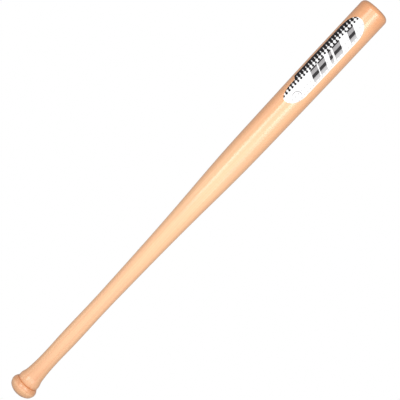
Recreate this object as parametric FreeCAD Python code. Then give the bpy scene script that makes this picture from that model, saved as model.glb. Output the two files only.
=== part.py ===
"""One-piece turned wooden baseball bat with a wrapped film label.

The bat stands on the flat end of its barrel: the origin is the centre of that end, +Z runs up the
bat's axis to the knob, and the middle of the label faces -Y. Lengths are millimetres.
"""

import FreeCAD, Part
import math
import os

# Whole bat.
OVERALL_LENGTH = 700.0

# Knob and groove, stacked down from the end of the bat: dome, shoulder, V groove and collar.
KNOB_DIAMETER = 38.4
KNOB_DOME_HEIGHT = 11.7
KNOB_SHOULDER_HEIGHT = 6.7
# How far the knob's widest ring stands out past the foot of its shoulder.
KNOB_SHOULDER_OVERHANG = 2.6
# Dome from its widest ring to the middle of the end: share of its height, share of the way in to the axis.
KNOB_DOME_SHAPE = ((0.25, 0.035), (0.55, 0.13), (0.85, 0.375))
GROOVE_WIDTH = 1.5
# Depth below the lower of the groove's two edges.
GROOVE_DEPTH = 0.95
COLLAR_DIAMETER = 31.5
COLLAR_HEIGHT = 3.1

# Grip, measured down from the end of the knob: a waist, a slight swell for the palm, and the neck.
WAIST_DISTANCE = 70.0
WAIST_DIAMETER = 23.0
SWELL_DISTANCE = 105.0
SWELL_DIAMETER = 24.0
NECK_DISTANCE = 158.0
NECK_DIAMETER = 23.2
# Flare from the collar to the waist: share of its length, share of its loss of radius.
FLARE_SHAPE = ((0.16, 0.41), (0.33, 0.70), (0.60, 0.92))

# Barrel, measured up from its flat end.
BARREL_DIAMETER = 42.6
BARREL_STRAIGHT_LENGTH = 66.0
BARREL_EDGE_RADIUS = 7.0
# Taper from the neck to the straight barrel: share of its length, share of its gain in radius.
TAPER_SHAPE = ((0.08, 0.04), (0.24, 0.20), (0.41, 0.49), (0.50, 0.69), (0.58, 0.82), (0.73, 0.92))

# Film label: a long shape with half-elliptical ends, cut flat and wrapped round the barrel.
LABEL_DISTANCE = 24.6
LABEL_LENGTH = 143.2
LABEL_WIDTH = 34.8
LABEL_END_LENGTH = 24.0
LABEL_THICKNESS = 0.15
# Points on each end's half ellipse, enough for a smooth curve.
LABEL_END_POINTS = 13

AXIS_UP = FreeCAD.Vector(0, 0, 1)
AXIS_DOWN = FreeCAD.Vector(0, 0, -1)
INWARD = FreeCAD.Vector(-1, 0, 0)


def at(radius, height):
    """A point of the turned outline, in the XZ plane."""
    return FreeCAD.Vector(radius, 0, height)


def around(centre, radius, turn):
    """The point of an arc that starts level with its centre and turns downwards by an angle."""
    return centre + at(math.cos(turn), -math.sin(turn)) * radius


def curve(points, tangents):
    """A smooth curve through the points, held to the tangents given by point number."""
    spline = Part.BSplineCurve()
    spline.interpolate(
        Points=points,
        Tangents=[tangents.get(number, AXIS_UP) for number in range(len(points))],
        TangentFlags=[number in tangents for number in range(len(points))],
    )
    return spline


def shaped(start, end, shares):
    """Points between two points of the outline, at shares of the way in height and in radius."""
    run = end.z - start.z
    rise = end.x - start.x
    return [at(start.x + rise * across, start.z + run * along) for along, across in shares]


def turned(growth):
    """The solid that the lathe leaves, with every radius grown outwards."""
    barrel_radius = BARREL_DIAMETER / 2 + growth
    foot_middle = at(0, 0)
    foot_rim = at(barrel_radius - BARREL_EDGE_RADIUS, 0)
    edge_top = at(barrel_radius, BARREL_EDGE_RADIUS)
    edge_centre = at(foot_rim.x, edge_top.z)
    edge_middle = around(edge_centre, BARREL_EDGE_RADIUS, math.pi / 4)
    straight_top = at(barrel_radius, BARREL_STRAIGHT_LENGTH)

    neck = at(NECK_DIAMETER / 2 + growth, OVERALL_LENGTH - NECK_DISTANCE)
    swell = at(SWELL_DIAMETER / 2 + growth, OVERALL_LENGTH - SWELL_DISTANCE)
    waist = at(WAIST_DIAMETER / 2 + growth, OVERALL_LENGTH - WAIST_DISTANCE)

    knob_end = at(0, OVERALL_LENGTH)
    knob_ring = at(KNOB_DIAMETER / 2 + growth, knob_end.z - KNOB_DOME_HEIGHT)
    shoulder_foot = knob_ring - at(KNOB_SHOULDER_OVERHANG, KNOB_SHOULDER_HEIGHT)
    collar_top = at(COLLAR_DIAMETER / 2 + growth, shoulder_foot.z - GROOVE_WIDTH)
    collar_bottom = collar_top - at(0, COLLAR_HEIGHT)
    groove_bottom = at(min(shoulder_foot.x, collar_top.x) - GROOVE_DEPTH, collar_top.z + GROOVE_WIDTH / 2)

    # The shoulder's arc runs straight down at the knob's widest ring and ends at the shoulder's foot.
    shoulder_chord = math.hypot(KNOB_SHOULDER_OVERHANG, KNOB_SHOULDER_HEIGHT)
    shoulder_radius = shoulder_chord**2 / (2 * KNOB_SHOULDER_OVERHANG)
    shoulder_turn = math.atan2(KNOB_SHOULDER_HEIGHT, shoulder_radius - KNOB_SHOULDER_OVERHANG)
    shoulder_middle = around(knob_ring - at(shoulder_radius, 0), shoulder_radius, shoulder_turn / 2)

    taper = shaped(neck, straight_top, TAPER_SHAPE)
    flare = shaped(collar_bottom, waist, FLARE_SHAPE)
    handle = [collar_bottom] + flare + [waist, swell, neck] + taper + [straight_top]
    level = [collar_bottom, waist, swell, neck, straight_top]
    dome = [knob_ring] + shaped(knob_ring, knob_end, KNOB_DOME_SHAPE) + [knob_end]

    edges = [
        Part.LineSegment(foot_middle, foot_rim),
        Part.Arc(foot_rim, edge_middle, edge_top),
        Part.LineSegment(edge_top, straight_top),
        curve(handle, {handle.index(point): AXIS_DOWN for point in level}),
        Part.LineSegment(collar_bottom, collar_top),
        Part.LineSegment(collar_top, groove_bottom),
        Part.LineSegment(groove_bottom, shoulder_foot),
        Part.Arc(shoulder_foot, shoulder_middle, knob_ring),
        curve(dome, {0: AXIS_UP, len(dome) - 1: INWARD}),
        Part.LineSegment(knob_end, foot_middle),
    ]
    outline = Part.Wire([edge.toShape() for edge in edges])
    return Part.Face(outline).revolve(foot_middle, AXIS_UP, 360)


def label_outline():
    """The label's outline as it looks square on, wrapped round the barrel: straight sides, round ends."""
    radius = BARREL_DIAMETER / 2
    depth = BARREL_DIAMETER

    def wrapped(along, across):
        return FreeCAD.Vector(radius * math.sin(across / radius), -depth, along)

    def end_points(straight_end, direction):
        turns = [math.pi * (number / (LABEL_END_POINTS - 1) - 0.5) for number in range(LABEL_END_POINTS)]
        return [
            wrapped(
                straight_end + direction * LABEL_END_LENGTH * math.cos(turn),
                direction * LABEL_WIDTH / 2 * math.sin(turn),
            )
            for turn in turns
        ]

    lower = end_points(LABEL_DISTANCE + LABEL_END_LENGTH, -1)
    upper = end_points(LABEL_DISTANCE + LABEL_LENGTH - LABEL_END_LENGTH, 1)
    edges = [
        curve(lower, {0: AXIS_DOWN, LABEL_END_POINTS - 1: AXIS_UP}),
        Part.LineSegment(lower[-1], upper[0]),
        curve(upper, {0: AXIS_UP, LABEL_END_POINTS - 1: AXIS_DOWN}),
        Part.LineSegment(upper[-1], lower[0]),
    ]
    return Part.Face(Part.Wire([edge.toShape() for edge in edges]))


def bat_body():
    """The wooden bat, turned from one billet."""
    return turned(0)


def barrel_label(body):
    """The film label: a skin on the barrel, bounded by the label's outline on its front half."""
    skin = turned(LABEL_THICKNESS).cut(body)
    front = label_outline().extrude(FreeCAD.Vector(0, BARREL_DIAMETER, 0))
    return skin.common(front)


def main():
    os.makedirs("parts", exist_ok=True)
    body = bat_body()
    nodes = {
        "bat_body": body,
        "barrel_label": barrel_label(body),
    }
    for name, shape in nodes.items():
        solids = shape.Solids
        if len(solids) != 1 or not solids[0].isValid():
            raise ValueError(f"{name} is not one sound solid")
        solids[0].exportStep(f"parts/{name}.step")
        print(f"{name}: {solids[0].Volume:.1f} mm3")


main()
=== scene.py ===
"""Looks of a turned baseball bat: its varnished wood, its printed film label and a plain studio.

Laid out as an add-on and run as a script. Lengths are metres unless a name says millimetres (mm).
"""

import math

import bmesh
import bpy
import numpy as np
from bpy.props import FloatProperty, FloatVectorProperty, IntProperty, PointerProperty
from bpy.types import Operator, Panel, PropertyGroup
from mathutils import Matrix, Vector


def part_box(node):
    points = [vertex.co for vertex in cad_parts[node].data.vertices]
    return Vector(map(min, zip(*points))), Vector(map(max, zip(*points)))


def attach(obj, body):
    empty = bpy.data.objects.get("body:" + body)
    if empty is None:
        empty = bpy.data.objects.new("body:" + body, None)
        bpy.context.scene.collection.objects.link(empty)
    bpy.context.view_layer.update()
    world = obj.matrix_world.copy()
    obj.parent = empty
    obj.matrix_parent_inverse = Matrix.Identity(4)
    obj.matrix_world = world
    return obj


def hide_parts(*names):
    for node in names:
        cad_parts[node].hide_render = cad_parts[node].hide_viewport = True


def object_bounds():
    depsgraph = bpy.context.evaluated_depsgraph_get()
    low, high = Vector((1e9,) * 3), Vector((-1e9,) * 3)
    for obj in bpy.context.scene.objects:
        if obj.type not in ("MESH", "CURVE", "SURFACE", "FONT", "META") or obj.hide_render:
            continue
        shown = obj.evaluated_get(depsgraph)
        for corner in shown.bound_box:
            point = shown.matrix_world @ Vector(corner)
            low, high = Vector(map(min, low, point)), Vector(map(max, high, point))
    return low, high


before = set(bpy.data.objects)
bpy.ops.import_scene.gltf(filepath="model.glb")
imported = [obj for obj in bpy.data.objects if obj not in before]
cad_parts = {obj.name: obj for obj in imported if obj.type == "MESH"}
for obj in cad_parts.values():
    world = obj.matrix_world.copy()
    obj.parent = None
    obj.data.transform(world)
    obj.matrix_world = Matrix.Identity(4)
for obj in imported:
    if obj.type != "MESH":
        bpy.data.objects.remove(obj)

bl_info = {
    "name": "Turned Baseball Bat",
    "version": (1, 0, 0),
    "blender": (4, 5, 0),
    "location": "3D View > Sidebar > Bat",
    "description": "Builds a baseball bat's varnished wood, its printed film label and its studio",
    "category": "Object",
}

CAD_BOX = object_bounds()
MM = 0.001
LENGTH = CAD_BOX[1].z
LABEL_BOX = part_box("barrel_label")
LABEL_MIDDLE = (LABEL_BOX[0].z + LABEL_BOX[1].z) / 2
LABEL_LENGTH = LABEL_BOX[1].z - LABEL_BOX[0].z
WHOLE_TURN = 2 * math.pi


# ---------------------------------------------------------------------------------------------
# Sizes and colours that a user would change
# ---------------------------------------------------------------------------------------------


class WoodSettings(PropertyGroup):
    """The turned wood and its varnish."""

    sides: IntProperty(
        name="Sides",
        description="Faces round the bat",
        default=132,
        min=24,
        max=180,
    )
    pale: FloatVectorProperty(
        name="Pale wood",
        description="Colour of the early wood",
        default=(0.90, 0.52, 0.28),
        subtype="COLOR",
        min=0,
        max=1,
    )
    late: FloatVectorProperty(
        name="Late wood",
        description="Colour of the dense lines between the years",
        default=(0.81, 0.41, 0.20),
        subtype="COLOR",
        min=0,
        max=1,
    )
    blush: FloatVectorProperty(
        name="Blush",
        description="Colour of the broad pinkish streaks",
        default=(0.89, 0.44, 0.26),
        subtype="COLOR",
        min=0,
        max=1,
    )
    # Colour of the painted shade towards the ends, down one side of the barrel and in the groove,
    # and of the darker end grain.
    shade_and_end_grain: FloatVectorProperty(
        name="Deep",
        description="Colour where the finish has sunk in, towards the ends and in the groove",
        default=(0.74, 0.32, 0.135),
        subtype="COLOR",
        min=0,
        max=1,
    )
    pore: FloatVectorProperty(
        name="Pores",
        description="Colour of the pores and the ray flecks",
        default=(0.36, 0.145, 0.05),
        subtype="COLOR",
        min=0,
        max=1,
    )
    ring_spacing: FloatProperty(
        name="Ring spacing",
        description="Mean width of a year's growth",
        default=2.6 * MM,
        subtype="DISTANCE",
        unit="LENGTH",
    )
    varnish: FloatProperty(
        name="Varnish",
        description="Weight of the clear coat",
        default=1.0,
        min=0,
        max=1,
        subtype="FACTOR",
    )
    varnish_roughness: FloatProperty(
        name="Varnish roughness",
        description="How far the coat spreads a reflection",
        default=0.2,
        min=0,
        max=1,
        subtype="FACTOR",
    )
    varnish_index: FloatProperty(
        name="Varnish index",
        description="Refractive index of the coat, which sets how bright its reflections are",
        default=1.6,
        min=1,
        max=2,
    )


class LabelSettings(PropertyGroup):
    """The printed film label."""

    ground: FloatVectorProperty(
        name="Ground",
        description="Colour of the film where nothing is printed",
        default=(0.86, 0.86, 0.86),
        subtype="COLOR",
        min=0,
        max=1,
    )
    ink: FloatVectorProperty(
        name="Ink",
        description="Colour of the dark print",
        default=(0.008, 0.006, 0.008),
        subtype="COLOR",
        min=0,
        max=1,
    )
    grey: FloatVectorProperty(
        name="Grey",
        description="Colour of the slanted bars",
        default=(0.29, 0.28, 0.285),
        subtype="COLOR",
        min=0,
        max=1,
    )
    end_length: FloatProperty(
        name="End length",
        description="Length of the half ellipse at each end of the label",
        default=24 * MM,
        subtype="DISTANCE",
        unit="LENGTH",
    )
    dot_pitch: FloatProperty(
        name="Dot pitch",
        description="Distance between the printed dots of one row",
        default=5.475 * MM,
        subtype="DISTANCE",
        unit="LENGTH",
    )
    row_pitch: FloatProperty(
        name="Row pitch",
        description="Distance between two rows of printed dots",
        default=4.85 * MM,
        subtype="DISTANCE",
        unit="LENGTH",
    )


class StudioSettings(PropertyGroup):
    """The camera, the lights and the floor."""

    azimuth: FloatProperty(
        name="Azimuth",
        description="Camera's turn round the bat from straight in front of the label",
        default=math.radians(-16.55),
        subtype="ANGLE",
    )
    distance: FloatProperty(
        name="Distance",
        description="From the bat's axis to the camera",
        default=1.5568,
        subtype="DISTANCE",
        unit="LENGTH",
    )
    height: FloatProperty(
        name="Height",
        description="Camera's height above the barrel's end",
        default=0.1911,
        subtype="DISTANCE",
        unit="LENGTH",
    )
    aim: FloatProperty(
        name="Aim",
        description="Height of the point that the camera looks at",
        default=0.3393,
        subtype="DISTANCE",
        unit="LENGTH",
    )
    aside: FloatProperty(
        name="Aside",
        description="How far beside the bat's axis that point lies",
        default=1.9 * MM,
        subtype="DISTANCE",
        unit="LENGTH",
    )
    roll: FloatProperty(
        name="Roll",
        description="Slope of the bat across the picture, with the barrel at the upper right",
        default=math.radians(46.92),
        subtype="ANGLE",
    )
    lens: FloatProperty(
        name="Lens",
        description="Focal length on a 36 mm sensor",
        default=106.05,
        unit="CAMERA",
    )
    light: FloatProperty(
        name="Light",
        description="Brightness of all the soft panels round the bat",
        default=1.0,
        min=0,
    )
    ambient: FloatProperty(
        name="Ambient",
        description="Brightness of the room round the bat",
        default=0.39,
        min=0,
    )
    floor: FloatVectorProperty(
        name="Floor",
        description="Colour of the floor",
        default=(1.0, 1.0, 1.0),
        subtype="COLOR",
        min=0,
        max=1,
    )


# ---------------------------------------------------------------------------------------------
# Shader expressions
# ---------------------------------------------------------------------------------------------


class Socket:
    """An output of a shader node in Python arithmetic, where each operator adds a Math node."""

    def __init__(self, tree, socket):
        self.tree = tree
        self.socket = socket

    def __add__(self, other):
        return self.tree.math("ADD", self, other)

    def __radd__(self, other):
        return self.tree.math("ADD", other, self)

    def __sub__(self, other):
        return self.tree.math("SUBTRACT", self, other)

    def __rsub__(self, other):
        return self.tree.math("SUBTRACT", other, self)

    def __mul__(self, other):
        return self.tree.math("MULTIPLY", self, other)

    def __rmul__(self, other):
        return self.tree.math("MULTIPLY", other, self)

    def __truediv__(self, other):
        return self.tree.math("DIVIDE", self, other)

    def __rtruediv__(self, other):
        return self.tree.math("DIVIDE", other, self)


class Tree:
    """The node tree of a new material, or of a new world, filled by expressions."""

    def __init__(self, name, library="materials"):
        self.owner = getattr(bpy.data, library).new(name)
        self.owner.use_nodes = True
        self.tree = self.owner.node_tree
        self.tree.nodes.clear()

    def add(self, kind, settings=None, inputs=None, output=0):
        """Adds a node of a type: first its settings, then its sockets' values or links.

        Gives the wanted output, or the node itself where it has none.
        """
        node = self.tree.nodes.new(kind)
        for name, value in (settings or {}).items():
            setattr(node, name, value)
        for name, value in (inputs or {}).items():
            if isinstance(value, Socket):
                self.tree.links.new(value.socket, node.inputs[name])
            else:
                node.inputs[name].default_value = value
        return Socket(self, node.outputs[output]) if node.outputs else node

    def math(self, operation, *values):
        """A Math node's operation on numbers or sockets."""
        return self.add("ShaderNodeMath", {"operation": operation}, dict(enumerate(values)))

    def scaled(self, vector, scale):
        """A vector times a number."""
        inputs = {0: vector, "Scale": scale}
        return self.add("ShaderNodeVectorMath", {"operation": "SCALE"}, inputs)

    def join(self, x, y, z):
        """A vector from its three parts."""
        return self.add("ShaderNodeCombineXYZ", inputs={"X": x, "Y": y, "Z": z})

    def part(self, vector, axis):
        """One part of a vector: 0 for x, 1 for y and 2 for z."""
        return self.add("ShaderNodeSeparateXYZ", inputs={"Vector": vector}, output=axis)

    def noise(self, vector, detail=2.0, roughness=0.5):
        """Soft noise from 0 to 1 with features of about one unit."""
        inputs = {"Vector": vector, "Scale": 1.0, "Detail": detail, "Roughness": roughness}
        return self.add("ShaderNodeTexNoise", {"noise_dimensions": "3D"}, inputs, "Fac")

    def step(self, value, low, high):
        """0 below low, 1 above high and a smooth rise between. A low above high gives a fall."""
        settings = {"interpolation_type": "SMOOTHSTEP", "clamp": True}
        inputs = {"Value": value, "From Min": low, "From Max": high}
        return self.add("ShaderNodeMapRange", settings, inputs, "Result")

    def near(self, value, middle, reach, edge):
        """1 within reach of the middle and 0 beyond, with an edge that lies half on each side."""
        away = self.math("ABSOLUTE", value - middle)
        return self.step(away, reach + edge / 2, reach - edge / 2)

    def distance(self, x, y):
        """Distance of (x, y) from (0, 0)."""
        return self.math("SQRT", x * x + y * y)

    def blend(self, factor, first, second):
        """The first colour where the factor is 0 and the second where it is 1."""
        settings = {"data_type": "RGBA", "blend_type": "MIX", "clamp_factor": True}
        first, second = (
            colour if isinstance(colour, Socket) else (*colour, 1.0) for colour in (first, second)
        )
        return self.add("ShaderNodeMix", settings, {0: factor, 6: first, 7: second}, 2)

    def attribute(self, name, output="Fac"):
        """What the mesh stores under a name, as a number or, through "Vector", as a vector."""
        settings = {"attribute_type": "GEOMETRY", "attribute_name": name}
        return self.add("ShaderNodeAttribute", settings, output=output)

    def finish(self, inputs):
        """Closes the tree with a Principled shader and gives the material."""
        surface = self.add("ShaderNodeBsdfPrincipled", inputs=inputs)
        self.add("ShaderNodeOutputMaterial", inputs={"Surface": surface})
        return self.owner


# ---------------------------------------------------------------------------------------------
# Surfaces
# ---------------------------------------------------------------------------------------------


def node_points(name):
    """A CAD node's corners, one row each, in metres."""
    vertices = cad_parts[name].data.vertices
    points = np.empty(len(vertices) * 3, np.float32)
    vertices.foreach_get("co", points)
    return points.reshape(-1, 3).astype(float)


def running_length(points):
    """Distance along a line of points from its first one."""
    steps = np.hypot(*np.diff(points, axis=0).T)
    return np.concatenate([[0.0], np.cumsum(steps)])


def smooth_line(knots, values, wanted):
    """A smooth line through the values that never overshoots them.

    Between two knots it is a cubic. Its slope at a knot is the harmonic mean of the slopes on both
    sides, or level where they have opposite signs.
    """
    steps = np.diff(knots)
    slopes = np.diff(values) / steps
    before, after = slopes[:-1], slopes[1:]
    same_way = before * after > 0
    mean = np.where(same_way, 2 * before * after / np.where(same_way, before + after, 1.0), 0.0)
    tangents = np.concatenate([slopes[:1], mean, slopes[-1:]])
    index = np.clip(np.searchsorted(knots, wanted, side="right") - 1, 0, len(steps) - 1)
    step = steps[index]
    share = (wanted - knots[index]) / step
    rise = values[index + 1] - values[index]
    first = tangents[index] * step - rise
    second = rise - tangents[index + 1] * step
    swing = share * (1 - share) * (first * (1 - share) + second * share)
    return values[index] + rise * share + swing


FINE_STEP = 0.1 * MM  # between two points of the turned outline
MERGE_LENGTH = 0.5 * MM  # of the outline, in which the CAD body's rings of corners count as one
AXIS_REACH = 1 * MM  # within which of the axis a corner belongs to the middle of an end
PLACES = 7  # decimals that tell two rings of corners apart


def turned_line():
    """The turned outline: running length, distance from the axis and height at every fine step.

    The rings of corners of the CAD body lie on its exact surface. They are sorted from the middle
    of the barrel's end to the middle of the knob, and each merge length of them counts as their
    mean.
    """
    corners = node_points("bat_body")
    rings = np.column_stack([np.hypot(corners[:, 0], corners[:, 1]), corners[:, 2]])
    rings = np.unique(np.round(rings, PLACES), axis=0)
    rings = rings[np.argsort(rings[:, 1], kind="stable")]
    rings[:, 1] = rings[:, 1].clip(0.0, LENGTH)
    line = np.vstack([[0.0, 0.0], rings[rings[:, 0] > AXIS_REACH], [0.0, LENGTH]])
    length = running_length(line)
    group = np.unique(np.floor(length / MERGE_LENGTH), return_inverse=True)[1]
    count = np.bincount(group)
    knots, radii, heights = (np.bincount(group, values) / count for values in (length, *line.T))
    radii[[0, -1]] = 0.0
    heights[[0, -1]] = 0.0, LENGTH
    wanted = np.linspace(knots[0], knots[-1], int(knots[-1] / FINE_STEP))
    return wanted, smooth_line(knots, radii, wanted), smooth_line(knots, heights, wanted)


def stations(length, radii, heights, step, turn):
    """Indices along the outline: one per step of length and one per turn of its direction."""
    direction = np.unwrap(np.arctan2(np.gradient(radii, length), np.gradient(heights, length)))
    turned = np.concatenate([[0.0], np.cumsum(np.abs(np.diff(direction)))])
    effort = length / step + turned / turn
    wanted = np.linspace(0.0, effort[-1], int(effort[-1]))
    return np.unique(np.round(np.interp(wanted, effort, np.arange(len(length)))).astype(int))


def new_piece(name, points, faces, node):
    """A smooth mesh object at the origin that stands for a CAD node."""
    mesh = bpy.data.meshes.new(name)
    mesh.from_pydata(points, [], faces)
    mesh.validate()
    mesh.shade_smooth()
    piece = bpy.data.objects.new(name, mesh)
    bpy.context.scene.collection.objects.link(piece)
    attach(piece, "root")
    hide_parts(node)
    return piece


def set_attribute(mesh, name, kind, values):
    """Stores one value per vertex for the material to read."""
    key = "vector" if kind == "FLOAT_VECTOR" else "value"
    attribute = mesh.attributes.new(name, kind, "POINT")
    attribute.data.foreach_set(key, values.astype(np.float32).ravel())


def weld(mesh):
    """Joins corners within a micrometre, so that a folded grid becomes a closed shell."""
    form = bmesh.new()
    form.from_mesh(mesh)
    bmesh.ops.remove_doubles(form, verts=form.verts, dist=0.001 * MM)
    form.to_mesh(mesh)
    form.free()


def wound(rows, columns, first):
    """Quads of a grid whose last column joins its first, numbered from a vertex."""
    row, column = np.meshgrid(np.arange(rows - 1), np.arange(columns), indexing="ij")
    beside = (column + 1) % columns
    corners = [row * columns + column, row * columns + beside, (row + 1) * columns + beside]
    corners.append((row + 1) * columns + column)
    return (first + np.stack(corners, axis=-1).reshape(-1, 4)).tolist()


def turned_surface(radii, heights, sides):
    """Surface of revolution: x = r(s) cos t, y = r(s) sin t, z = h(s).

    A point closes it at each end. The corners straddle the axes, so that a flat faces each axis.
    """
    turns = (np.arange(sides) + 0.5) * WHOLE_TURN / sides
    ring_r, ring_h = radii[1:-1, None], heights[1:-1, None]
    rings = np.stack(
        [ring_r * np.cos(turns), ring_r * np.sin(turns), ring_h + 0 * turns],
        axis=-1,
    ).reshape(-1, 3)
    points = np.vstack([[0.0, 0.0, heights[0]], rings, [0.0, 0.0, heights[-1]]])
    side = np.arange(sides)
    beside = (side + 1) % sides
    last_ring = 1 + (len(radii) - 3) * sides
    tip = len(points) - 1
    bottom = np.column_stack([np.zeros(sides, int), 1 + beside, 1 + side])
    top = np.column_stack([last_ring + side, last_ring + beside, np.full(sides, tip)])
    return points, wound(len(radii) - 2, sides, 1) + bottom.tolist() + top.tolist()


# ---------------------------------------------------------------------------------------------
# Wood
# ---------------------------------------------------------------------------------------------


# Where the pith lies beside the bat's axis in mm, and how far it leans away per mm of height.
PITH = (-58, 24)
PITH_LEAN = (-0.012, 0.006)
ROUND_PITH = 62  # mm that a turn of one radian about the pith counts for in the rays' pattern

# Where painted shade darkens the wood: the height in mm at which it begins, the height at which
# it is whole, and how much it adds.
PAINTED_SHADE_ALONG = (
    (330, 150, 0.35),  # down the taper to the barrel
    (45, 5, 0.4),  # at the barrel's end
    (600, 675, 0.34),  # up the handle to its flare
    (677, 680, 0.5),  # on the collar, in the groove and under the knob
    (685, 688, -0.65),  # and less again on the knob's dome
)


def painted_shading(tree, x, z, bands):
    """Painted shade: by height, and along one side of the barrel, in uneven bands."""
    shaded = tree.step(x, -4, 18) * tree.step(z, 420, 180) * 0.25
    for begins, whole, amount in PAINTED_SHADE_ALONG:
        shaded = shaded + tree.step(z, begins, whole) * amount
    return shaded * (0.55 + bands * 0.9)


def wood_material(look):
    """Straight-grained wood under a clear varnish, cut from one solid pattern.

    The growth rings are rings about a pith that lies beside the bat and leans a little against
    its axis. Fibres, pores and flecks are noises stretched along the bat. All lengths are in mm:
    a noise's place over a length has features of about that length.
    """
    tree = Tree("varnished_wood")
    place = tree.scaled(tree.add("ShaderNodeTexCoord", output="Object"), 1 / MM)
    x, y, z = (tree.part(place, axis) for axis in range(3))

    # The growth rings.
    wander = tree.noise(tree.join(x / 40, y / 40, z / 260), 1.0)
    ripple = tree.noise(tree.join(x / 9, y / 9, z / 70), 2.0)
    from_pith_x = x - PITH[0] - z * PITH_LEAN[0] + wander * 9
    from_pith_y = y - PITH[1] - z * PITH_LEAN[1]
    depth = tree.distance(from_pith_x, from_pith_y)
    years = depth / (look.ring_spacing / MM) + ripple * 0.9
    season = tree.math("FRACT", years)
    late = tree.step(season, 0.25, 0.9) * tree.step(season, 1.0, 0.93)
    vigour = tree.noise(tree.join(depth / 5, 0.0, 0.0), 1.0)

    # The fibres and what lies among them. The last two are dark where their noise is highest.
    bands = tree.noise(tree.join(x / 5, y / 5, z / 190), 2.0)
    fibres = tree.noise(tree.join(x / 0.9, y / 0.9, z / 46), 3.0, 0.6)
    threads = tree.noise(tree.join(x / 0.28, y / 0.28, z / 11), 2.0)
    pores = tree.step(tree.noise(tree.join(x / 0.16, y / 0.16, z / 5), 1.0), 0.66, 0.74)
    round_pith = tree.math("ARCTAN2", from_pith_y, from_pith_x) * ROUND_PITH
    rays = tree.noise(tree.join(round_pith / 0.22, z / 2.2, depth / 3.5), 1.0)
    flecks = tree.step(rays, 0.67, 0.75)

    colour = tree.blend(late * (0.12 + vigour * 0.3), look.pale, look.late)
    colour = tree.blend(tree.step(bands, 0.45, 0.75) * 0.5, colour, look.blush)
    # Painted shade by height and down one side of the barrel, lighter again on the knob's dome.
    colour = tree.blend(painted_shading(tree, x, z, bands), colour, look.shade_and_end_grain)
    colour = tree.blend(tree.step(fibres, 0.4, 0.8) * 0.16, colour, look.late)
    colour = tree.blend(tree.step(threads, 0.5, 0.85) * 0.06, colour, look.late)
    colour = tree.blend(pores * 0.07 + flecks * 0.07, colour, look.pore)
    colour = tree.blend(tree.attribute("end_grain") * 0.3, colour, look.shade_and_end_grain)
    # Painted shade in the groove and in the hollow under the knob.
    colour = tree.blend(tree.attribute("painted_groove_shade") * 0.6, colour, look.shade_and_end_grain)

    bump = {"Height": fibres - pores * 0.5, "Strength": 0.15, "Distance": 0.003 * MM}
    return tree.finish({
        "Base Color": colour,
        "Roughness": 0.42 + bands * 0.12 + pores * 0.1,
        "Normal": tree.add("ShaderNodeBump", inputs=bump),
        "Specular IOR Level": 0.5,
        "Coat Weight": look.varnish,
        "Coat Roughness": look.varnish_roughness,
        "Coat IOR": look.varnish_index,
    })


RING_STEP = 3.2 * MM  # between two rings of the wood's mesh where the outline is straight
RING_TURN = math.radians(2.6)  # of the outline, after which it gets a ring where it bends
HOLLOW_REACH = 30  # fine steps to each side over which the outline's mean is taken
HOLLOW_DEPTH = 0.35 * MM  # below that mean where the painted shade in the groove is full


def hollows(radii):
    """From 0 to 1, how far the outline lies below its own running mean, as in the groove."""
    window = np.hanning(2 * HOLLOW_REACH + 1)
    wide = np.pad(radii, HOLLOW_REACH, mode="edge")
    mean = np.convolve(wide, window / window.sum(), mode="valid")
    return np.clip((mean - radii) / HOLLOW_DEPTH, 0.0, 1.0)


class BAT_OT_turn_wood(Operator):
    """Turn the wooden bat as one surface of revolution and varnish it"""

    bl_idname = "bat.turn_wood"
    bl_label = "Turn the wood"

    def execute(self, context):
        look = context.scene.bat_wood
        length, radii, heights = turned_line()
        kept = stations(length, radii, heights, RING_STEP, RING_TURN)
        points, faces = turned_surface(radii[kept], heights[kept], look.sides)
        piece = new_piece("turned_wood", points, faces, "bat_body")

        # Shade is painted into the hollows, and the finish sinks in where the cut crosses the
        # grain.
        corners = np.full(len(kept), look.sides)
        corners[[0, -1]] = 1
        end_grain = np.minimum(np.gradient(radii, length) ** 2, 1.0)
        for name, values in (("painted_groove_shade", hollows(radii)), ("end_grain", end_grain)):
            set_attribute(piece.data, name, "FLOAT", np.repeat(values[kept], corners))

        piece.data.materials.append(wood_material(look))
        return {"FINISHED"}


# ---------------------------------------------------------------------------------------------
# Label
# ---------------------------------------------------------------------------------------------


EDGE_POINTS = 48  # along each end and each side of the label
RIM = np.array([0.0, 0.06, 0.15, 0.3, 0.5, 0.8, 1.2]) * MM  # from the edge to the first loops
ROUNDED = 0.5 * MM  # width of the label's rounded edge
INNER_LOOPS = 14  # from the last of the rim to the label's core
INNER_DEPTH = 0.02 * MM  # how far the inner skin lies inside the wood, so that no gap shows
BARREL_REACH = 5 * MM  # beyond the label's ends up to which the barrel's radius is read


def label_outline(length, width, end_length, count):
    """The label cut flat: (along, across) round its edge, and the core that the edge shrinks to.

    Straight sides join two half ellipses, along = s + e cos t and across = w / 2 sin t, where s is
    half the straight length, e the ends' length and w the width. The core is the middle line
    between the two half ellipses.
    """
    straight = length / 2 - end_length
    turns = np.linspace(0.0, math.pi, count) - math.pi / 2
    right = np.column_stack([straight + end_length * np.cos(turns), width / 2 * np.sin(turns)])
    right_core = np.column_stack([np.full(count, straight), np.zeros(count)])
    side = np.linspace(straight, -straight, count)[1:-1]
    bottom = np.column_stack([side, np.full(len(side), width / 2)])
    bottom_core = np.column_stack([side, np.zeros(len(side))])
    edge = np.vstack([right, bottom, -right, -bottom])
    core = np.vstack([right_core, bottom_core, -right_core, -bottom_core])
    return edge, core


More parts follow.
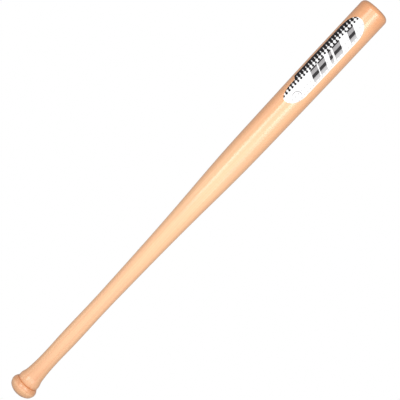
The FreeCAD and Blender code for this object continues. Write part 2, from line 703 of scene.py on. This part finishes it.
def label_surface(edge, core, radius_at, thickness):
    """The film, wrapped: an outer skin, a rounded edge and an inner skin.

    A flat point (a, b) goes to x = -r sin(b / R), y = -r cos(b / R), z = middle - a, where r is the
    barrel's radius at that height plus the film's lift there, and R is the barrel's radius. Over
    the rounded edge the lift rises as a quarter of an ellipse, from 0 to the film's thickness.
    """
    reach = np.hypot(*(core - edge).T)[:, None]
    last = RIM[-1] / reach
    share = np.hstack([RIM[:-1] / reach, last + (1 - last) * np.linspace(0.0, 1.0, INNER_LOOPS)])
    flat = edge[:, None, :] + share[..., None] * (core - edge)[:, None, :]
    lift = thickness * np.sqrt(1 - (1 - np.minimum(share * reach / ROUNDED, 1.0)) ** 2)
    outer = np.concatenate([flat, lift[..., None]], axis=-1)
    inner = np.concatenate([flat, np.full(share.shape, -INNER_DEPTH)[..., None]], axis=-1)
    # From the outer skin's core, out to the edge, and back under it to the inner skin's core.
    sheet = np.concatenate([outer[:, ::-1], inner], axis=1)
    along, across, rise = sheet[..., 0], sheet[..., 1], sheet[..., 2]
    height = LABEL_MIDDLE - along
    radius = radius_at(height)
    turn = across / radius_at(np.array(LABEL_BOX[0].z))
    points = np.stack(
        [-(radius + rise) * np.sin(turn), -(radius + rise) * np.cos(turn), height], axis=-1
    )
    return points, np.stack([along, across, rise], axis=-1)


# The print, in mm along the label from its middle and across it from its middle line. It is
# darkest along the edge where across is lowest.
FIRST_COLUMN = 2.56  # along, of one column of dots on the middle line
COLUMN_SLANT = 0.09  # along per mm across, by which the columns lean
ROW_SLANT = 0.012  # across per mm along, by which the rows lean
FIRST_ROW = -3.95  # across, of one row of dots
BAR_SLANT = 0.49  # along per mm across, by which the bars lean
BARS = ((-16.2, 5.9), (-2.7, 6.0), (12.9, 2.5), (25.1, 6.7), (51.7, 5.6))  # middle, half width
BALL = (-56.2, 8.5)  # along and across, of the ball's middle
BALL_RADIUS = 6.4
SEAM_DISTANCE = 9  # from the ball's middle to the middle of each seam's circle
SEAM_RADIUS = 5.6
CLEAR_SIDE = -10.9  # across, of the straight side of the film's clear corner
CLEAR_TAIL = (28.5, 34.5)  # from the label's end, between which the clear corner runs out
CLEAR_SHIFT = 9  # across, by which its side moves off the label there


def halftone(tree, look, along, across):
    """Ink where a wave along the label, a wave across it and a tone add up to more than a half.

    Towards the dark edge the tone rises and the wave across fades, so that the dots grow and join
    into columns. Also gives the wave along, which the specks share.
    """
    columns = (along + across * COLUMN_SLANT - FIRST_COLUMN) / (look.dot_pitch / MM)
    wave_along = tree.math("COSINE", columns * WHOLE_TURN) * 0.25
    rows = (across - along * ROW_SLANT - FIRST_ROW) / (look.row_pitch / MM)
    fade = tree.step(across, -5.5, -12.0)
    wave_across = tree.math("COSINE", rows * WHOLE_TURN) * (0.2 - fade * 0.17)
    tone = 0.83 - tree.math("EXPONENT", across / 7) * 0.8 + tree.step(across, -5.2, -7.2) * 0.045
    inked = tree.step(wave_along + wave_across + tone, 0.45, 0.55)
    # The dots stop where the bars begin.
    return inked * tree.step(across, -1.7, -2.2), wave_along


def slanted_bars(tree, along, across):
    """Five plain bars that lean, and the dark line and band that cross them. Gives both."""
    slant = along + across * BAR_SLANT
    bars = sum(tree.near(slant, middle, half_width, 0.7) for middle, half_width in BARS)
    # Both ends of the bars.
    bars = bars * tree.step(across, -2.9, -2.5) * tree.step(across, 13.3, 12.7)
    band = tree.near(across, 6.1, 2.05, 0.4)
    line = tree.near(across, -1.85, 1.025, 0.35)
    return bars, bars * (band + line)


def printed_ball(tree, along, across):
    """A ball's outline, darker on one side, with two curved seams inside it."""
    ball_along = along - BALL[0]
    ball_across = across - BALL[1]
    from_ball = tree.distance(ball_along, ball_across)
    outline = tree.near(from_ball, BALL_RADIUS, 0.6, 0.4)
    dark_side = tree.step(ball_along - ball_across, -3.0, 6.0)
    seams = sum(
        tree.near(tree.distance(ball_along + side, ball_across), SEAM_RADIUS, 0.45, 0.3)
        for side in (-SEAM_DISTANCE, SEAM_DISTANCE)
    )
    inside = tree.step(from_ball, BALL_RADIUS - 0.1, BALL_RADIUS - 0.5)
    return outline * (0.15 + dark_side * 0.75) + seams * inside * 0.3


def clear_corner(tree, look, along, across):
    """0 in the corner of the film that has no print and 1 elsewhere.

    The corner's side is a quarter of an ellipse and then straight, until it moves off the label.
    """
    from_end = along + LABEL_LENGTH / 2 / MM
    share = 1 - tree.math("MINIMUM", from_end / (look.end_length / MM), 1.0)
    side = tree.math("SQRT", 1 - share * share) * CLEAR_SIDE
    side = side - tree.step(from_end, *CLEAR_TAIL) * CLEAR_SHIFT
    return tree.step(across - side, -0.2, 0.2)


def label_material(look):
    """Clear film with a white ground, a fading halftone, five slanted bars and a plain ball."""
    tree = Tree("label_film")
    place = tree.scaled(tree.attribute("print_place", "Vector"), 1 / MM)
    along, across = (tree.part(place, axis) for axis in range(2))

    dots, wave_along = halftone(tree, look, along, across)
    far_row = tree.math("COSINE", (across - 7.2) / 7.1 * WHOLE_TURN) * 0.25
    specks = tree.step(wave_along + far_row, 0.2, 0.4) * tree.step(across, 3.0, 4.0)
    bars, dark_bars = slanted_bars(tree, along, across)

    colour = tree.blend(printed_ball(tree, along, across), look.ground, look.grey)
    colour = tree.blend(bars * (1 - tree.step(across, 6.5, 12.5) * 0.25), colour, look.grey)
    colour = tree.blend(specks * (1 - bars) * 0.45, colour, look.grey)
    colour = tree.blend(dots, colour, look.ink)
    colour = tree.blend(dark_bars, colour, look.ink)
    return tree.finish({
        "Base Color": colour,
        "Roughness": 0.4 - dots * 0.08,
        "Alpha": clear_corner(tree, look, along, across),
        "Specular IOR Level": 0.2,
        "Coat Weight": 0.2,
        "Coat Roughness": 0.2,
    })


class BAT_OT_wrap_label(Operator):
    """Wrap the printed film label round the barrel"""

    bl_idname = "bat.wrap_label"
    bl_label = "Wrap the label"

    def execute(self, context):
        look = context.scene.bat_label
        _, radii, heights = turned_line()
        low, high = LABEL_BOX[0].z - BARREL_REACH, LABEL_BOX[1].z + BARREL_REACH
        near_label = (heights > low) & (heights < high)

        def radius_at(height):
            return np.interp(height, heights[near_label], radii[near_label])

        barrel_radius = float(radius_at(LABEL_BOX[0].z))
        thickness = -LABEL_BOX[0].y - barrel_radius
        width = 2 * barrel_radius * math.asin(LABEL_BOX[1].x / (barrel_radius + thickness))
        edge, core = label_outline(LABEL_LENGTH, width, look.end_length, EDGE_POINTS)
        points, flat = label_surface(edge, core, radius_at, thickness)
        points, flat = (grid.transpose(1, 0, 2) for grid in (points, flat))
        faces = wound(*points.shape[:2], 0)
        piece = new_piece("film_label", points.reshape(-1, 3), faces, "barrel_label")
        set_attribute(piece.data, "print_place", "FLOAT_VECTOR", flat)
        weld(piece.data)
        piece.data.materials.append(label_material(look))
        return {"FINISHED"}


# ---------------------------------------------------------------------------------------------
# Studio
# ---------------------------------------------------------------------------------------------


SENSOR_WIDTH = 36.0  # mm, for which the lens is given
PANEL_CIRCLE = 0.9  # radius of the circle that the soft panels stand on
PANEL_POWER = 10  # watts per square metre of a panel with a brightness of 1

# Each soft panel's name, its turn round the bat from the camera in degrees, its width, the heights
# of its lower and upper edge, and its brightness.
PANELS = (
    ("left_strip", -25, 0.314, -0.25, 0.25, 1.64),
    ("left_strip_upper", -25, 0.314, 0.25, 0.50, 0.42),
    ("left_wide", -42, 0.26, -0.25, 0.50, 0.64),
    ("right_strip", 25, 0.314, -0.25, 0.50, 1.24),
    ("front", 0, 0.471, -0.25, 0.50, 0.42),
    ("front_upper", 0, 1.6, 0.50, 1.30, 0.21),
    ("left_side", -70, 0.52, 0.0, 1.30, 0.16),
    ("right_side", 70, 0.52, 0.0, 1.30, 0.2),
)

FLOOR_RADIUS = 6.0
FLOOR_SIDES = 96
FLOOR_DROP = 0.2 * MM  # below the barrel's end


def set_camera(look):
    """A camera beside the bat, rolled so that the barrel points to the upper right."""
    back = Vector((math.sin(look.azimuth), -math.cos(look.azimuth), 0.0))
    aside = Vector((-math.cos(look.azimuth), -math.sin(look.azimuth), 0.0))
    place = back * look.distance + Vector((0.0, 0.0, look.height))
    target = aside * look.aside + Vector((0.0, 0.0, look.aim))
    back = (place - target).normalized()
    to_barrel = Vector((0.0, 0.0, -1.0))
    to_barrel = (to_barrel - back * to_barrel.dot(back)).normalized()
    over = back.cross(to_barrel)
    right = to_barrel * math.cos(look.roll) - over * math.sin(look.roll)
    up = to_barrel * math.sin(look.roll) + over * math.cos(look.roll)
    camera = bpy.data.objects.new("camera", bpy.data.cameras.new("camera"))
    camera.data.lens = look.lens
    camera.data.sensor_width = SENSOR_WIDTH
    turn = Matrix((right, up, back)).transposed().to_4x4()
    camera.matrix_world = Matrix.Translation(place) @ turn
    bpy.context.scene.collection.objects.link(camera)
    bpy.context.scene.camera = camera


def add_panel(name, azimuth, width, low, high, brightness):
    """A soft rectangular light that faces the bat's axis and isn't seen by the camera."""
    lamp = bpy.data.lights.new(name, "AREA")
    lamp.shape = "RECTANGLE"
    lamp.size = width
    lamp.size_y = high - low
    lamp.energy = PANEL_POWER * brightness * width * (high - low)
    light = bpy.data.objects.new(name, lamp)
    back = Vector((math.sin(azimuth), -math.cos(azimuth), 0.0))
    place = back * PANEL_CIRCLE + Vector((0.0, 0.0, (low + high) / 2))
    turn = back.to_track_quat("Z", "Y").to_matrix().to_4x4()
    light.matrix_world = Matrix.Translation(place) @ turn
    light.visible_camera = False
    bpy.context.scene.collection.objects.link(light)


def set_room(ambient):
    """A room that is white to the camera and dimmer in what it lights and mirrors."""
    tree = Tree("room", "worlds")
    white = (1.0, 1.0, 1.0, 1.0)
    lit = tree.add("ShaderNodeBackground", inputs={"Color": white, "Strength": ambient})
    seen = tree.add("ShaderNodeBackground", inputs={"Color": white, "Strength": 1.0})
    in_view = tree.add("ShaderNodeLightPath", output="Is Camera Ray")
    room = tree.add("ShaderNodeMixShader", inputs={0: in_view, 1: lit, 2: seen})
    tree.add("ShaderNodeOutputWorld", inputs={"Surface": room})
    # An even room needs no rays of its own: the surfaces' own rays find it without grain.
    tree.owner.cycles.sampling_method = "NONE"
    bpy.context.scene.world = tree.owner


def set_floor(colour):
    """A plain disc of floor just under the barrel's end, which lights and shades nothing."""
    turns = np.linspace(0.0, WHOLE_TURN, FLOOR_SIDES, endpoint=False)
    x, y = FLOOR_RADIUS * np.cos(turns), FLOOR_RADIUS * np.sin(turns)
    rim = np.column_stack([x, y, np.full(FLOOR_SIDES, -FLOOR_DROP)])
    mesh = bpy.data.meshes.new("floor")
    mesh.from_pydata(rim, [], [list(range(FLOOR_SIDES))])
    floor = bpy.data.objects.new("floor", mesh)
    bpy.context.scene.collection.objects.link(floor)
    tree = Tree("floor")
    glow = tree.add("ShaderNodeEmission", inputs={"Color": (*colour, 1.0), "Strength": 1.0})
    tree.add("ShaderNodeOutputMaterial", inputs={"Surface": glow})
    mesh.materials.append(tree.owner)
    floor.visible_shadow = False
    floor.visible_glossy = False
    floor.visible_diffuse = False


class BAT_OT_set_stage(Operator):
    """Set the camera, the lights, the room and the floor"""

    bl_idname = "bat.set_stage"
    bl_label = "Set the stage"

    def execute(self, context):
        look = context.scene.bat_studio
        set_camera(look)
        for name, turn, width, low, high, brightness in PANELS:
            azimuth = look.azimuth + math.radians(turn)
            add_panel(name, azimuth, width, low, high, brightness * look.light)
        set_room(look.ambient)
        set_floor(look.floor)
        context.scene.view_settings.view_transform = "Standard"
        return {"FINISHED"}


# ---------------------------------------------------------------------------------------------
# Sidebar and registration
# ---------------------------------------------------------------------------------------------


class BAT_PT_sidebar(Panel):
    """Lists the bat's settings and the operators that build it"""

    bl_idname = "BAT_PT_sidebar"
    bl_label = "Turned Baseball Bat"
    bl_space_type = "VIEW_3D"
    bl_region_type = "UI"
    bl_category = "Bat"

    def draw(self, context):
        for settings, operator in (
            ("bat_wood", BAT_OT_turn_wood),
            ("bat_label", BAT_OT_wrap_label),
            ("bat_studio", BAT_OT_set_stage),
        ):
            group = getattr(context.scene, settings)
            box = self.layout.box()
            for name in group.bl_rna.properties.keys():
                if name not in {"rna_type", "name"}:
                    box.prop(group, name)
            box.operator(operator.bl_idname)


CLASSES = (
    WoodSettings,
    LabelSettings,
    StudioSettings,
    BAT_OT_turn_wood,
    BAT_OT_wrap_label,
    BAT_OT_set_stage,
    BAT_PT_sidebar,
)


def register():
    for item in CLASSES:
        bpy.utils.register_class(item)
    bpy.types.Scene.bat_wood = PointerProperty(type=WoodSettings)
    bpy.types.Scene.bat_label = PointerProperty(type=LabelSettings)
    bpy.types.Scene.bat_studio = PointerProperty(type=StudioSettings)


def unregister():
    del bpy.types.Scene.bat_wood
    del bpy.types.Scene.bat_label
    del bpy.types.Scene.bat_studio
    for item in reversed(CLASSES):
        bpy.utils.unregister_class(item)


def main():
    register()
    bpy.ops.bat.turn_wood()
    bpy.ops.bat.wrap_label()
    bpy.ops.bat.set_stage()


if __name__ == "__main__":
    main()
